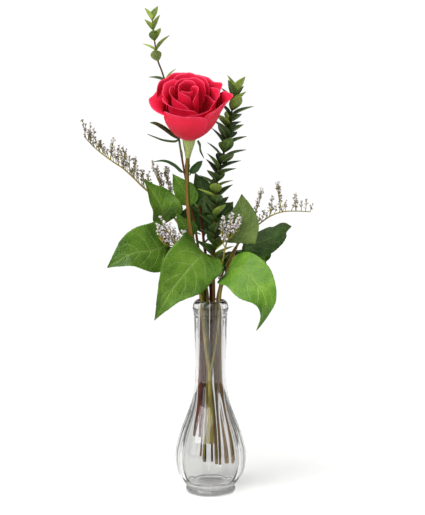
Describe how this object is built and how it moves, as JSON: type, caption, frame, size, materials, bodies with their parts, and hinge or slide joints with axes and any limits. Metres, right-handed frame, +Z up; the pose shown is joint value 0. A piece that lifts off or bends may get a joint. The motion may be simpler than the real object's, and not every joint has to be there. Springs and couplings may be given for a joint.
{
  "type": "rose in a bud vase",
  "caption": "A single red rose with salal leaves, myrtle sprigs and sea-lavender, standing in a clear fluted glass bud vase.",
  "frame": {"origin": "centre of the vase's flat base, on the vase's axis", "axes": "+Z up along the vase, -Y towards the side that the rose faces, +X to the viewer's right"},
  "size_m": [0.2324, 0.1136, 0.4987],
  "materials": {
    "vase_glass": "clear, fire-polished pressed glass",
    "rose_petal": "velvety, hot pink-red",
    "rose_green": "satin, pale green",
    "rose_stem": "satin, green and brown",
    "salal_stem": "matt red-brown bark",
    "salal_leaf": "waxy, mid green with paler veins",
    "myrtle": "waxy, dark green",
    "limonium": "dry, papery, grey-brown and off-white"
  },
  "bodies": {
    "root": {"vase": "vase_glass", "rose_stem": "rose_stem", "rose_hip": "rose_green", "rose_sepal_1": "rose_green", "rose_sepal_2": "rose_green", "rose_sepal_3": "rose_green", "rose_sepal_4": "rose_green", "rose_sepal_5": "rose_green", "rose_petal_outer_1": "rose_petal", "rose_petal_outer_2": "rose_petal", "rose_petal_outer_3": "rose_petal", "rose_petal_outer_4": "rose_petal", "rose_petal_outer_5": "rose_petal", "rose_petal_middle_1": "rose_petal", "rose_petal_middle_2": "rose_petal", "rose_petal_middle_3": "rose_petal", "rose_petal_middle_4": "rose_petal", "rose_petal_middle_5": "rose_petal", "rose_petal_inner_1": "rose_petal", "rose_petal_inner_2": "rose_petal", "rose_petal_inner_3": "rose_petal", "rose_petal_inner_4": "rose_petal", "rose_petal_bud_1": "rose_petal", "rose_petal_bud_2": "rose_petal", "rose_petal_bud_3": "rose_petal", "rose_petal_bud_4": "rose_petal", "rose_leaf_left": "rose_green", "rose_leaf_right": "rose_green", "salal_stem_left": "salal_stem", "salal_stem_centre": "salal_stem", "salal_stem_right": "salal_stem", "salal_leaf_upper_left": "salal_leaf", "salal_leaf_big_left": "salal_leaf", "salal_leaf_front": "salal_leaf", "salal_leaf_low_right": "salal_leaf", "salal_leaf_right_upper": "salal_leaf", "salal_leaf_right_dark": "salal_leaf", "salal_leaf_behind_stem_left": "salal_leaf", "salal_leaf_behind_stem_right": "salal_leaf", "salal_leaf_centre_back": "salal_leaf", "salal_leaf_small": "salal_leaf", "salal_leaf_low_back": "salal_leaf", "salal_leaf_back_right": "salal_leaf", "salal_leaf_back": "salal_leaf", "myrtle_sprig_right": "myrtle", "myrtle_sprig_tall": "myrtle", "limonium_stem_front": "limonium", "limonium_stem_left": "limonium", "limonium_stem_right": "limonium"}
  },
  "joints": []
}
